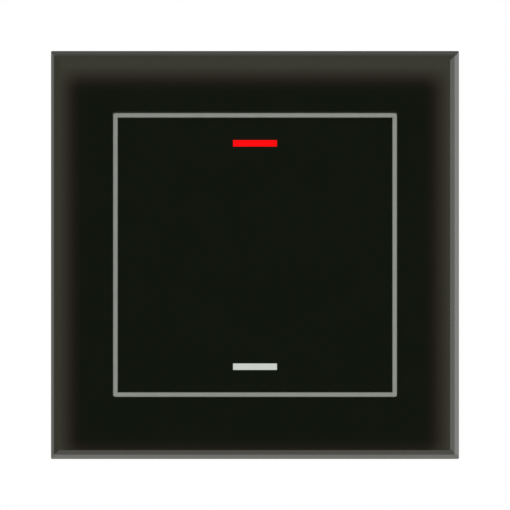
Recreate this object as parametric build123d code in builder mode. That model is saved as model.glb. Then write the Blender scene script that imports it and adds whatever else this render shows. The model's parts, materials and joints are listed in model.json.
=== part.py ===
from build123d import *
from math import cos, dist, pi, sin
import os

# Two-gang capacitive touch light switch with a glass front, for a British single-gang wall box.
# It comes apart into three units. The front panel pulls off the wall: a bevelled black glass frame, a
# square metal trim and a glass touch pane with two light bars, all stuck to a moulded carrier. The
# steel yoke screws to the wall box. The module hangs in the yoke: a cover, a rear housing, the touch
# board with its sensing springs, and the power board with two relays and four screw terminals.
#
# Frame: X to the right, Z up, the room on the -Y side. The origin is the middle of the two wall box
# screws, on the wall's surface. A height is measured from the wall into the room (towards -Y), and a
# depth is measured from the wall's surface into the wall box (towards +Y). All sizes are millimetres.

# Glass frame
plate_size = 86.0
plate_front = 10.0
glass_thickness = 4.0
plate_corner = 0.3
facet_width = 0.95
inner_facet_drop = 0.3
outer_facet_drop = 0.9
rear_arris = 0.3
fine_arris = 0.05
ink_thickness = 0.1

# Metal trim around the touch pane
trim_size = 59.8
trim_width = 1.0
trim_corner = 0.5
trim_arris = 0.1
trim_proud = 0.35
trim_ledge = 2.2
trim_ledge_thickness = 0.8
fit_gap = 0.15

# Touch pane and its light bars
pane_thickness = 3.6
bar_length = 9.4
bar_height = 1.5
bar_offset = 23.6
key_offset = 13.0
tape_thickness = 0.8
pane_tape_thickness = 0.4

# Moulded carrier behind the glass
carrier_size = 83.4
carrier_corner = 1.5
carrier_wall = 1.6
carrier_web = 1.4
carrier_wall_gap = 0.3
blade_size = (8.0, 1.6, 1.8)
clip_offset = 33.5

# Steel yoke
yoke_size = 76.0
yoke_corner = 4.0
sheet = 1.2
yoke_flange_length = 44.0
yoke_flange_height = 2.6
box_screw_spacing = 60.3
box_slot_length = 7.0
box_slot_width = 4.0
box_screw_head = 9.2

# Module
module_width = 50.0
module_height = 62.0
module_corner = 2.5
module_depth = 25.8
module_wall = 1.8
cover_width = 54.6
cover_height = 72.0
cover_thickness = 1.8
pillar_radius = 2.8
pillar_inset = 4.6
touch_board_depth = 0.8
touch_board_thickness = 1.2
power_board_depth = 6.4
power_board_thickness = 1.6

# Sensing springs
spring_diameter = 9.0
spring_wire = 0.7
spring_turns = 3
spring_clearance = 0.08

# Terminals, in line across the bottom of the module
terminal_count = 4
terminal_pitch = 7.62
terminal_line = -23.0
screw_pitch = 0.5
cage_travel = 2.0

# Relays
relay_width = 10.0
relay_length = 20.0
relay_offset = 16.5
relay_line = -4.5
armature_angle = 3.0

# Sizes that follow from those above
glass_back = plate_front - glass_thickness
carrier_front = glass_back - ink_thickness - tape_thickness
web_back = carrier_front - carrier_web
trim_inner = trim_size - 2 * trim_width
ledge_front = carrier_front + trim_ledge_thickness
ledge_opening = trim_inner - 2 * trim_ledge
pane_size = trim_inner - 2 * fit_gap
pane_back = plate_front - pane_thickness
pane_ink_back = pane_back - ink_thickness
pane_tape_back = pane_ink_back - pane_tape_thickness
web_opening = ledge_opening + 1.0
cover_front = sheet + cover_thickness
housing_inner_width = module_width - 2 * module_wall
housing_inner_height = module_height - 2 * module_wall
housing_floor = module_depth - module_wall
pillar_x = module_width / 2 - pillar_inset
pillar_z = module_height / 2 - pillar_inset
touch_board_back = touch_board_depth + touch_board_thickness
power_board_back = power_board_depth + power_board_thickness
board_width = housing_inner_width - 0.6
board_height = housing_inner_height - 0.6
terminal_x = [(i - (terminal_count - 1) / 2) * terminal_pitch for i in range(terminal_count)]


def at_height(height):
    """Plane parallel to the wall, facing the room: local x is X, local y is Z."""
    return Plane.XZ.offset(height)


def at_depth(depth):
    """Plane parallel to the wall behind its surface: local x is X, local y is Z."""
    return Plane.XZ.offset(-depth)


def across(x):
    """Plane square to X: local x is the depth into the wall, local y is Z."""
    return Plane.YZ.offset(x)


def square(side, corner=0.0, mode=Mode.ADD):
    """Square in the current sketch, with round corners if a radius is given."""
    if corner:
        return RectangleRounded(side, side, corner, mode=mode)
    return Rectangle(side, side, mode=mode)


def four_corners(x, z):
    """Locations of one feature at each corner of a rectangle about the middle."""
    return GridLocations(2 * x, 2 * z, 2, 2)


def save(piece, name):
    """Labels a finished piece and writes its file."""
    piece.label = name
    export_step(piece, f"parts/{name}.step")


os.makedirs("parts", exist_ok=True)

# Glass frame: square plate whose polished edge falls away in two facets
facet_top = plate_front - inner_facet_drop
facet_foot = facet_top - outer_facet_drop
with BuildPart() as glass_frame:
    with BuildSketch(at_height(glass_back)):
        square(plate_size, plate_corner)
    extrude(amount=facet_foot - glass_back)
    for low, high, inset in ((facet_foot, facet_top, 0), (facet_top, plate_front, facet_width)):
        with BuildSketch(at_height(low)):
            square(plate_size - 2 * inset, plate_corner)
        with BuildSketch(at_height(high)):
            square(plate_size - 2 * inset - 2 * facet_width, plate_corner)
        loft(ruled=True)
    chamfer(glass_frame.faces().sort_by(Axis.Y)[-1].outer_wire().edges(), rear_arris)
    with BuildSketch(at_height(glass_back)):
        square(trim_size + 2 * fit_gap, trim_corner + fit_gap)
    extrude(amount=glass_thickness, mode=Mode.SUBTRACT)
    chamfer(glass_frame.faces().sort_by(Axis.Y)[0].inner_wires().edges(), fine_arris)
save(glass_frame.part, "glass_frame")

# Black ink on the back of the frame
with BuildPart() as frame_ink:
    with BuildSketch(at_height(glass_back)):
        square(plate_size - 1.0, plate_corner)
        square(trim_size + 1.0, trim_corner + fit_gap, mode=Mode.SUBTRACT)
    extrude(amount=-ink_thickness)
save(frame_ink.part, "frame_ink")

# Foam tape that holds the frame to the carrier, one strip along each side
tape_length = 62.0
tape_width = 6.0
tape_line = 35.5
with BuildPart() as frame_tape:
    with BuildSketch(at_height(carrier_front)):
        with PolarLocations(0, 4):
            with Locations((0, tape_line)):
                Rectangle(tape_length, tape_width)
    extrude(amount=tape_thickness)
save(frame_tape.part, "frame_tape")

# Trim: square metal ring, with a ledge behind the pane and snap legs through the carrier
leg_width = 5.0
leg_thickness = 0.8
leg_line = 28.6
leg_spacing = 24.0
leg_reach = 2.1
hook_reach = 0.5
hook_height = 0.6
with BuildPart() as trim_ring:
    with BuildSketch(at_height(carrier_front)):
        square(trim_size, trim_corner)
        square(trim_inner, mode=Mode.SUBTRACT)
    extrude(amount=plate_front + trim_proud - carrier_front)
    front_rim = trim_ring.faces().sort_by(Axis.Y)[0]
    chamfer(front_rim.edges(), trim_arris)
    with BuildSketch(at_height(carrier_front)):
        square(trim_inner)
        square(ledge_opening, 1.0, mode=Mode.SUBTRACT)
    extrude(amount=trim_ledge_thickness)
    with BuildSketch(at_height(carrier_front)):
        with PolarLocations(0, 4):
            with Locations((-leg_spacing / 2, leg_line), (leg_spacing / 2, leg_line)):
                Rectangle(leg_width, leg_thickness)
    extrude(amount=-leg_reach)
    with BuildSketch(at_height(carrier_front - leg_reach)):
        with PolarLocations(0, 4):
            with Locations((-leg_spacing / 2, leg_line), (leg_spacing / 2, leg_line)):
                with Locations((0, hook_reach / 2)):
                    Rectangle(leg_width, leg_thickness + hook_reach)
    extrude(amount=hook_height)
save(trim_ring.part, "trim_ring")

# Touch pane: the glass tile that is touched, upper half for one light and lower half for the other
with BuildPart() as touch_pane:
    with BuildSketch(at_height(pane_back)):
        square(pane_size)
    extrude(amount=pane_thickness)
    chamfer(touch_pane.faces().sort_by(Axis.Y)[0].edges(), fine_arris)
save(touch_pane.part, "touch_pane")

# Ink on the back of the pane, with a window for each light bar
with BuildPart() as pane_ink:
    with BuildSketch(at_height(pane_back)):
        square(pane_size - 0.4)
        with Locations((0, -bar_offset), (0, bar_offset)):
            Rectangle(bar_length, bar_height, mode=Mode.SUBTRACT)
    extrude(amount=-ink_thickness)
save(pane_ink.part, "pane_ink")

# Tape that holds the pane to the ledge of the trim
with BuildPart() as pane_tape:
    with BuildSketch(at_height(pane_ink_back)):
        square(pane_size - 0.4)
        square(ledge_opening + 1.0, 1.0, mode=Mode.SUBTRACT)
    extrude(amount=-pane_tape_thickness)
save(pane_tape.part, "pane_tape")


def bar_diffuser(middle):
    """Coloured diffuser: a thin pad behind the ink with a raised bar that fills its window."""
    pad_length, pad_height, pad_thickness = 12.0, 3.6, 0.3
    slack = 0.04
    with BuildPart() as diffuser:
        with BuildSketch(at_height(pane_ink_back)):
            with Locations((0, middle)):
                Rectangle(pad_length, pad_height)
        extrude(amount=-pad_thickness)
        with BuildSketch(at_height(pane_ink_back)):
            with Locations((0, middle)):
                Rectangle(bar_length - slack, bar_height - slack)
        extrude(amount=ink_thickness)
    return diffuser.part


save(bar_diffuser(bar_offset), "red_diffuser")
save(bar_diffuser(-bar_offset), "white_diffuser")

# Carrier: shallow moulded tray, open in the middle, with a blade at each corner for the spring clips
rib_height = 0.5
rib_thickness = 1.0
pry_slot = (14.0, 1.6)
with BuildPart() as front_carrier:
    with BuildSketch(at_height(carrier_wall_gap)):
        square(carrier_size, carrier_corner)
    extrude(amount=carrier_front - carrier_wall_gap)
    with BuildSketch(at_height(0)):
        square(carrier_size - 2 * carrier_wall, carrier_corner)
    extrude(amount=web_back, mode=Mode.SUBTRACT)
    with BuildSketch(at_height(0)):
        square(web_opening, 1.0)
        with PolarLocations(0, 4):
            with Locations((-leg_spacing / 2, leg_line), (leg_spacing / 2, leg_line)):
                Rectangle(leg_width + 0.4, leg_thickness + 0.4)
    extrude(amount=carrier_front, mode=Mode.SUBTRACT)
    with BuildSketch(at_height(web_back)):
        with four_corners(clip_offset, clip_offset):
            Rectangle(blade_size[0], blade_size[1])
    extrude(amount=-blade_size[2])
    with BuildSketch(at_height(web_back)):
        rib_length = carrier_size / 2 - carrier_wall - web_opening / 2 - 1.0
        with PolarLocations(0, 4):
            with GridLocations(8.0, 0, 7, 1):
                with Locations((0, web_opening / 2 + 1.0 + rib_length / 2)):
                    Rectangle(rib_thickness, rib_length)
    extrude(amount=-rib_height)
    with BuildSketch(at_height(0)):
        with Locations((0, -carrier_size / 2)):
            Rectangle(pry_slot[0], 4 * carrier_wall)
    extrude(amount=pry_slot[1], mode=Mode.SUBTRACT)
save(front_carrier.part, "front_carrier")

# Yoke: pressed steel frame with upturned edges, slots for the box screws and a tab for the earth
earth_x = -30.8
earth_z = -20.0
earth_tab_x = -35.0
earth_tab_length = 8.0
earth_tab_depth = 9.5
earth_rivet = 2.6
module_screw_x = 19.0
module_screw_z = 33.3
module_screw_shank = 2.2
rivet_diameter = 1.6
with BuildPart() as mounting_yoke:
    with BuildSketch(at_height(0)):
        square(yoke_size, yoke_corner)
        RectangleRounded(module_width + 0.6, module_height + 0.6, module_corner + 0.3, mode=Mode.SUBTRACT)
        with Locations((-box_screw_spacing / 2, 0), (box_screw_spacing / 2, 0)):
            SlotOverall(box_slot_length, box_slot_width, mode=Mode.SUBTRACT)
        with Locations((earth_tab_x + sheet + 3.2, earth_z)):
            Rectangle(6.4, earth_tab_length + 2.0, mode=Mode.SUBTRACT)
        with four_corners(module_screw_x, module_screw_z):
            Circle(module_screw_shank / 2 + 0.05, mode=Mode.SUBTRACT)
        with four_corners(clip_offset, clip_offset):
            Circle(rivet_diameter / 2 + 0.05, mode=Mode.SUBTRACT)
    extrude(amount=sheet)
    with BuildSketch(at_height(0)):
        with PolarLocations(0, 4):
            with Locations((0, yoke_size / 2 - sheet / 2)):
                Rectangle(yoke_flange_length, sheet)
    extrude(amount=yoke_flange_height)
    top_edges = mounting_yoke.edges().group_by(Axis.Y)[0]
    fillet(top_edges.filter_by(lambda edge: edge.length < 1.01 * sheet), 1.0)
    with BuildSketch(at_height(0)):
        with Locations((earth_tab_x + sheet / 2, earth_z)):
            Rectangle(sheet, earth_tab_length)
    extrude(amount=-earth_tab_depth)
    with BuildSketch(across(earth_tab_x)):
        with Locations((earth_tab_depth / 2 + 0.25, earth_z)):
            Circle(earth_rivet / 2 + 0.05)
    extrude(amount=sheet, mode=Mode.SUBTRACT)
save(mounting_yoke.part, "mounting_yoke")

# Spring clips: bent strips whose arms grip the carrier's blades
clip_thickness = 0.4
clip_length = 6.0
clip_base_height = sheet + clip_thickness / 2
clip_half_profile = [(1.5, clip_base_height), (1.07, 2.75), (1.7, 3.3)]
with BuildPart() as spring_clips:
    for x in (-clip_offset, clip_offset):
        for z in (-clip_offset, clip_offset):
            arm = [(-height, z + out) for out, height in clip_half_profile]
            mirrored = [(-height, z - out) for out, height in reversed(clip_half_profile)]
            with BuildSketch(across(x)):
                with BuildLine():
                    FilletPolyline(*mirrored, *arm, radius=0.35)
                trace(line_width=clip_thickness)
            extrude(amount=clip_length / 2, both=True)
    with BuildSketch(at_height(sheet)):
        with four_corners(clip_offset, clip_offset):
            Circle(rivet_diameter / 2 + 0.05)
    extrude(amount=clip_thickness, mode=Mode.SUBTRACT)
save(spring_clips.part, "spring_clips")

with BuildPart() as clip_rivets:
    with BuildSketch(at_height(0)):
        with four_corners(clip_offset, clip_offset):
            Circle(rivet_diameter / 2)
    extrude(amount=sheet + clip_thickness)
    with BuildSketch(at_height(sheet + clip_thickness)):
        with four_corners(clip_offset, clip_offset):
            Circle(rivet_diameter * 0.6)
    extrude(amount=0.25)
save(clip_rivets.part, "clip_rivets")

# Earth terminal: brass pillar riveted to the yoke's tab, bored for the earth wire
pillar_width = 6.0
pillar_block_depth = (1.0, 9.0)
earth_bore_depth = 4.5
earth_bore_radius = 2.0
earth_thread = 3.5
with BuildPart() as earth_terminal:
    with BuildSketch(at_depth(pillar_block_depth[0])):
        with Locations((earth_tab_x + sheet + pillar_width / 2, earth_z)):
            RectangleRounded(pillar_width, earth_tab_length, 0.5)
    extrude(amount=pillar_block_depth[0] - pillar_block_depth[1])
    with BuildSketch(across(earth_tab_x + sheet)):
        with Locations((earth_tab_depth / 2 + 0.25, earth_z)):
            Circle(earth_rivet / 2)
    extrude(amount=-sheet)
    with BuildSketch(across(earth_tab_x)):
        with Locations((earth_tab_depth / 2 + 0.25, earth_z)):
            Circle(earth_rivet * 0.75)
    extrude(amount=-0.6)
    with BuildSketch(Plane.XY.offset(earth_z)):
        with Locations((earth_x, earth_bore_depth)):
            Circle(earth_bore_radius)
    extrude(amount=earth_tab_length, both=True, mode=Mode.SUBTRACT)
    with BuildSketch(at_depth(pillar_block_depth[1])):
        with Locations((earth_x, earth_z)):
            Circle(earth_thread / 2 + 0.05)
    extrude(amount=pillar_block_depth[1] - earth_bore_depth, mode=Mode.SUBTRACT)
save(earth_terminal.part, "earth_terminal")


def slotted_screw(x, z, tip, shoulder, shank, head, head_thickness, slot):
    """Cheese-head screw along the depth: tip nearest the wall's surface, head towards the back."""
    with BuildPart() as screw:
        with BuildSketch(at_depth(shoulder)):
            with Locations((x, z)):
                Circle(shank / 2)
        extrude(amount=shoulder - tip)
        chamfer(screw.faces().sort_by(Axis.Y)[0].edges(), shank / 8)
        with BuildSketch(at_depth(shoulder)):
            with Locations((x, z)):
                Circle(head / 2)
        extrude(amount=-head_thickness)
        chamfer(screw.faces().sort_by(Axis.Y)[-1].edges(), head_thickness / 8)
        with BuildSketch(at_depth(shoulder + head_thickness)):
            with Locations((x, z)):
                Rectangle(2 * head, slot)
        extrude(amount=head_thickness / 2, mode=Mode.SUBTRACT)
    return screw.part


earth_screw_travel = 2.7
earth_screw_tip = earth_bore_depth + earth_bore_radius + 0.1
save(
    slotted_screw(
        earth_x,
        earth_z,
        earth_screw_tip,
        pillar_block_depth[1] + earth_screw_travel + 0.1,
        earth_thread,
        5.2,
        1.6,
        0.9,
    ),
    "earth_screw",
)

# Cover: closes the housing, seats on the yoke, and lets the springs and light guides through
slot_slack = 0.4
collar_height = 1.4
spring_hole = spring_diameter + 1.6
guide_flange = (12.0, 4.0, 0.8)
board_post = (2.0, 4.0)
board_boss_x = 19.6
board_boss_z = 12.0
board_screw = 2.0
module_screw_places = four_corners(module_screw_x, module_screw_z)
with BuildPart() as front_cover:
    with BuildSketch(at_height(sheet)):
        RectangleRounded(cover_width, cover_height, module_corner + 0.5)
        with Locations((-box_screw_spacing / 2, 0), (box_screw_spacing / 2, 0)):
            Circle(box_screw_head / 2, mode=Mode.SUBTRACT)
    extrude(amount=cover_thickness)
    chamfer(front_cover.faces().sort_by(Axis.Y)[0].outer_wire().edges(), 0.4)
    # Collars around the holes, and a rib between the two keys
    with BuildSketch(at_height(cover_front)):
        with Locations((0, -key_offset), (0, key_offset)):
            Circle(spring_hole / 2 + 1.2)
        with Locations((0, -bar_offset), (0, bar_offset)):
            RectangleRounded(bar_length + 3.0, bar_height + 3.0, 1.0)
        Rectangle(40.0, 1.0)
    extrude(amount=collar_height)
    with BuildSketch(at_height(cover_front)):
        with four_corners(pillar_x, pillar_z):
            Circle(pillar_radius)
    extrude(amount=0.4)
    # Spigot that fits inside the housing and seats the touch board
    with BuildSketch(at_height(sheet)):
        Rectangle(housing_inner_width - 0.2, housing_inner_height - 0.2)
        Rectangle(housing_inner_width - 2.6, housing_inner_height - 2.6, mode=Mode.SUBTRACT)
        with four_corners(board_boss_x, board_boss_z):
            Circle(board_screw)
        with four_corners(pillar_x, pillar_z):
            Rectangle(3 * pillar_radius, 3 * pillar_radius, mode=Mode.SUBTRACT)
    extrude(amount=-(sheet + touch_board_depth))
    # Posts that reach past the touch board and press on the power board
    with BuildSketch(at_height(sheet)):
        with Locations((-board_width / 2 + 1.0, 0), (board_width / 2 - 1.0, 0)):
            Rectangle(*board_post)
    extrude(amount=-(sheet + power_board_depth))
    # Holes for springs, guides, vents and screws
    with BuildSketch(at_height(0)):
        with Locations((0, -key_offset), (0, key_offset)):
            Circle(spring_hole / 2)
        with Locations((0, -bar_offset), (0, bar_offset)):
            Rectangle(bar_length + slot_slack, bar_height + slot_slack)
        with GridLocations(2 * 14.0, 0, 2, 1):
            with GridLocations(0, 3.0, 1, 5):
                Rectangle(8.0, 1.2)
    extrude(amount=cover_front + collar_height, mode=Mode.SUBTRACT)
    with Locations(*[at_height(cover_front).location * place for place in module_screw_places]):
        CounterSinkHole(module_screw_shank / 2 + 0.1, module_screw_shank + 0.1, cover_thickness)
    with BuildSketch(at_height(sheet)):
        with four_corners(pillar_x, pillar_z):
            Circle(1.3)
    extrude(amount=cover_thickness, mode=Mode.SUBTRACT)
    with BuildSketch(at_depth(touch_board_depth)):
        with four_corners(board_boss_x, board_boss_z):
            Circle(board_screw / 2)
    extrude(amount=touch_board_depth + sheet, mode=Mode.SUBTRACT)
save(front_cover.part, "front_cover")

# Countersunk screws that hold the module to the yoke
screw_head_depth = 1.1
with BuildPart() as module_screws:
    with BuildSketch(at_height(0.1)):
        with four_corners(module_screw_x, module_screw_z):
            Circle(module_screw_shank / 2)
    extrude(amount=cover_front - 0.1)
    for place in module_screw_places:
        for rise, radius in ((0.0, module_screw_shank / 2), (screw_head_depth, module_screw_shank)):
            with BuildSketch(at_height(cover_front - screw_head_depth + rise)):
                with Locations((place.position.X, place.position.Y)):
                    Circle(radius)
        loft()
    with BuildSketch(at_height(cover_front)):
        with four_corners(module_screw_x, module_screw_z):
            Rectangle(2.6, 0.6)
            Rectangle(0.6, 2.6)
    extrude(amount=-0.6, mode=Mode.SUBTRACT)
save(module_screws.part, "module_screws")


def board_outline():
    """Outline of either circuit board: a rectangle with its corners cut away around the pillars."""
    Rectangle(board_width, board_height)
    with four_corners(pillar_x + 1.0, pillar_z + 1.0):
        Rectangle(2 * pillar_radius + 3.0, 2 * pillar_radius + 3.0, mode=Mode.SUBTRACT)


header_count = 6
header_pitch = 2.54
header_line = 0.0
with BuildPart() as touch_board:
    with BuildSketch(at_depth(touch_board_depth)):
        board_outline()
        with four_corners(board_boss_x, board_boss_z):
            Circle(board_screw / 2 + 0.1, mode=Mode.SUBTRACT)
        with Locations((-board_width / 2, 0), (board_width / 2, 0)):
            Rectangle(2 * board_post[0] + 0.8, board_post[1] + 0.6, mode=Mode.SUBTRACT)
        with Locations((0, header_line)):
            with GridLocations(header_pitch, 0, header_count, 1):
                Circle(0.5, mode=Mode.SUBTRACT)
    extrude(amount=-touch_board_thickness)
save(touch_board.part, "touch_board")

with BuildPart() as board_screws:
    with BuildSketch(at_depth(touch_board_back)):
        with four_corners(board_boss_x, board_boss_z):
            Circle(board_screw / 2 - 0.05)
    extrude(amount=touch_board_thickness + 1.5)
    with BuildSketch(at_depth(touch_board_back)):
        with four_corners(board_boss_x, board_boss_z):
            Circle(board_screw * 0.9)
    extrude(amount=-1.2)
    with BuildSketch(at_depth(touch_board_back + 1.2)):
        with four_corners(board_boss_x, board_boss_z):
            Rectangle(2.2, 0.5)
            Rectangle(0.5, 2.2)
    extrude(amount=0.6, mode=Mode.SUBTRACT)
save(board_screws.part, "board_screws")

# Sensing springs: each stands on the touch board and reaches the ink behind its key
spring_radius = (spring_diameter - spring_wire) / 2
spring_foot = -touch_board_depth + spring_wire / 2
spring_top = pane_ink_back - spring_clearance - spring_wire / 2
spring_rise = (spring_top - spring_foot) / spring_turns
quarter = pi / 2


def spring_point(middle, angle):
    """Point on the spring's centreline, climbing steadily with the angle."""
    height = spring_foot + spring_rise * angle / (2 * pi)
    return (spring_radius * cos(angle), -height, middle + spring_radius * sin(angle))


def sensing_spring(middle):
    """Open coil of wire, drawn with eight flats and swept along quarter turns."""
    with BuildPart() as spring:
        with BuildLine() as coil:
            for step in range(4 * spring_turns):
                start = step * quarter
                ThreePointArc(
                    spring_point(middle, start),
                    spring_point(middle, start + quarter / 2),
                    spring_point(middle, start + quarter),
                )
        with BuildSketch(Plane(origin=coil.line @ 0, z_dir=coil.line % 0)):
            RegularPolygon(spring_wire / 2, 8)
        sweep()
    return spring.part


points_per_turn = 48
spring_points = [
    spring_point(0, 2 * pi * i / points_per_turn) for i in range(points_per_turn * spring_turns + 1)
]
spring_gap = min(
    dist(point, other) - spring_wire
    for i, point in enumerate(spring_points)
    for other in spring_points[i + points_per_turn // 2 :]
)
print("least gap between the turns of a sensing spring:", round(spring_gap, 2), "mm")
save(Compound(children=[sensing_spring(z) for z in (key_offset, -key_offset)]), "touch_springs")

# Light guides: clear bars with a flange that seats under the cover
guide_front = pane_ink_back - 0.45
guide_foot = 0.2
with BuildPart() as light_guides:
    with BuildSketch(at_height(guide_foot)):
        with Locations((0, -bar_offset), (0, bar_offset)):
            Rectangle(bar_length, bar_height)
    extrude(amount=guide_front - guide_foot)
    with BuildSketch(at_height(sheet)):
        with Locations((0, -bar_offset), (0, bar_offset)):
            Rectangle(guide_flange[0], guide_flange[1])
    extrude(amount=-guide_flange[2])
save(light_guides.part, "light_guides")

# Light-emitting diodes, two behind each guide
with BuildPart() as indicator_leds:
    with BuildSketch(at_depth(touch_board_depth)):
        with GridLocations(5.0, 2 * bar_offset, 2, 2):
            Rectangle(3.2, 2.8)
    extrude(amount=0.55)
    with BuildSketch(at_depth(touch_board_depth)):
        with GridLocations(5.0, 2 * bar_offset, 2, 2):
            Circle(1.1)
    extrude(amount=0.75)
save(indicator_leds.part, "indicator_leds")


def small_outline_chip(x, z, face, length, width, pins):
    """Surface-mount chip with gull-wing leads, on the board's front face at this depth."""
    lead_pitch = 1.27
    with BuildPart() as chip:
        with BuildSketch(at_depth(face - 0.1)):
            with Locations((x, z)):
                Rectangle(length, width)
        extrude(amount=1.4)
        chamfer(chip.faces().sort_by(Axis.Y)[0].edges(), 0.2)
        with BuildSketch(at_depth(face)):
            with Locations((x, z)):
                with GridLocations(lead_pitch, width + 1.2, pins // 2, 2):
                    Rectangle(0.4, 1.2)
        extrude(amount=0.2)
        with BuildSketch(at_depth(face)):
            with Locations((x, z)):
                with GridLocations(lead_pitch, width + 0.3, pins // 2, 2):
                    Rectangle(0.4, 0.5)
        extrude(amount=0.8)
    return chip.part


save(small_outline_chip(-12.6, 0.0, touch_board_depth, 9.9, 3.9, 16), "touch_chip")

# Chip resistors and capacitors beside the touch chip
with BuildPart() as touch_passives:
    with BuildSketch(at_depth(touch_board_depth)):
        with Locations((13.5, 0)):
            with GridLocations(3.2, 2.8, 3, 4):
                Rectangle(2.0, 1.25)
    extrude(amount=0.6)
save(touch_passives.part, "touch_passives")

# Pins and socket that join the two boards
header_size = (header_count * header_pitch, header_pitch)
header_meeting = (touch_board_back + power_board_depth) / 2
pin = 0.64
with BuildPart() as board_pins:
    with BuildSketch(at_depth(touch_board_back)):
        with Locations((0, header_line)):
            Rectangle(*header_size)
    extrude(amount=touch_board_back - header_meeting)
    with BuildSketch(at_depth(touch_board_depth - 0.4)):
        with Locations((0, header_line)):
            with GridLocations(header_pitch, 0, header_count, 1):
                Rectangle(pin, pin)
    extrude(amount=-(header_meeting - touch_board_depth + 2.2))
save(board_pins.part, "board_pins")

with BuildPart() as board_socket:
    with BuildSketch(at_depth(header_meeting)):
        with Locations((0, header_line)):
            Rectangle(*header_size)
            with GridLocations(header_pitch, 0, header_count, 1):
                Rectangle(pin + 0.2, pin + 0.2, mode=Mode.SUBTRACT)
    extrude(amount=header_meeting - power_board_depth)
save(board_socket.part, "board_socket")

# Rear housing: deep box with a pillar in each corner, wire entries below and screw holes behind
cell_width = 5.8
cell_length = 5.6
entry = 3.6
entry_depth = 12.3
funnel = 5.0
access_hole = 4.0
support_rib = (1.6, 6.0)
screw_floor = 5.0
with BuildPart() as rear_housing:
    with BuildSketch(at_height(sheet)):
        RectangleRounded(module_width, module_height, module_corner)
    extrude(amount=-(sheet + module_depth))
    chamfer(rear_housing.faces().sort_by(Axis.Y)[-1].edges(), 1.0)
    with BuildSketch(at_height(sheet)):
        RectangleRounded(housing_inner_width, housing_inner_height, module_corner - module_wall)
        with four_corners(pillar_x, pillar_z):
            Circle(pillar_radius, mode=Mode.SUBTRACT)
        with four_corners(pillar_x + pillar_inset / 2, pillar_z + pillar_inset / 2):
            Rectangle(pillar_inset, pillar_inset, mode=Mode.SUBTRACT)
    extrude(amount=-(sheet + housing_floor), mode=Mode.SUBTRACT)
    # Ribs under the power board
    with BuildSketch(at_depth(power_board_back)):
        with four_corners(housing_inner_width / 2 - support_rib[0] / 2, 14.0):
            Rectangle(*support_rib)
    extrude(amount=power_board_back - housing_floor)
    # Long holes through the pillars for the housing screws
    with BuildSketch(at_height(sheet)):
        with four_corners(pillar_x, pillar_z):
            Circle(1.35)
    extrude(amount=-(sheet + module_depth), mode=Mode.SUBTRACT)
    with BuildSketch(at_depth(module_depth)):
        with four_corners(pillar_x, pillar_z):
            Circle(2.2)
    extrude(amount=module_depth - screw_floor, mode=Mode.SUBTRACT)
    # Wire entries, and holes for the screwdriver
    with BuildSketch(Plane.XY.offset(-module_height / 2)):
        with Locations((0, entry_depth)):
            with GridLocations(terminal_pitch, 0, terminal_count, 1):
                Rectangle(funnel, funnel)
    extrude(amount=module_wall, mode=Mode.SUBTRACT)
    with BuildSketch(at_depth(module_depth)):
        with Locations((0, terminal_line)):
            with GridLocations(terminal_pitch, 0, terminal_count, 1):
                Circle(access_hole / 2)
    extrude(amount=module_wall, mode=Mode.SUBTRACT)
    # Vents in the side walls
    with BuildSketch(across(module_width / 2)):
        with Locations((16.0, 4.0)):
            with GridLocations(0, 3.0, 1, 6):
                Rectangle(9.0, 1.2)
    extrude(amount=-module_width, mode=Mode.SUBTRACT)
save(rear_housing.part, "rear_housing")

with BuildPart() as housing_screws:
    with BuildSketch(at_depth(screw_floor)):
        with four_corners(pillar_x, pillar_z):
            Circle(1.25)
    extrude(amount=screw_floor + cover_front - 0.3)
    with BuildSketch(at_depth(screw_floor)):
        with four_corners(pillar_x, pillar_z):
            Circle(2.1)
    extrude(amount=-1.6)
    with BuildSketch(at_depth(screw_floor + 1.6)):
        with four_corners(pillar_x, pillar_z):
            Rectangle(2.6, 0.6)
            Rectangle(0.6, 2.6)
    extrude(amount=0.8, mode=Mode.SUBTRACT)
save(housing_screws.part, "housing_screws")

# Where the parts with leads stand on the power board
transformer_at = (0.0, -5.0)
large_capacitor_at = (-14.5, 12.5)
small_capacitor_at = (-13.5, 21.5)
film_capacitor_at = (0.0, 24.0)
varistor_at = (0.0, 12.5)
fuse_at = (14.5, 12.5)
rectifier_at = (11.8, 21.5)
lead_width = 0.6
hole_slack = 0.2
lead_foot = power_board_depth - 0.8
lead_length = power_board_back - lead_foot
bar_pin_z = terminal_line + 6.4


def lead_pair(middle, spacing):
    """Two lead positions, side by side along X."""
    return [(middle[0] - spacing / 2, middle[1]), (middle[0] + spacing / 2, middle[1])]


def lead_grid(middle, spacing_x, spacing_z, rows=2):
    """Lead positions in two columns."""
    return [
        (middle[0] + side * spacing_x / 2, middle[1] + (row - (rows - 1) / 2) * spacing_z)
        for side in (-1, 1)
        for row in range(rows)
    ]


def relay_pins(x):
    """Pins of a relay: the fixed contact, the common and the two ends of the coil."""
    coil_line = relay_line + 3.4
    return [(x, relay_line + 8.1), (x, relay_line - 8.4), (x - 2.6, coil_line), (x + 2.6, coil_line)]


transformer_leads = lead_grid(transformer_at, 8.0, 3.0, rows=3)
large_capacitor_leads = lead_pair(large_capacitor_at, 3.5)
small_capacitor_leads = lead_pair(small_capacitor_at, 2.5)
film_capacitor_leads = lead_pair(film_capacitor_at, 10.0)
varistor_leads = lead_pair(varistor_at, 5.0)
fuse_leads = lead_pair(fuse_at, 5.0)
rectifier_leads = lead_grid(rectifier_at, 5.0, 5.0)
all_leads = [
    *transformer_leads,
    *large_capacitor_leads,
    *small_capacitor_leads,
    *film_capacitor_leads,
    *varistor_leads,
    *fuse_leads,
    *rectifier_leads,
]

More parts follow.
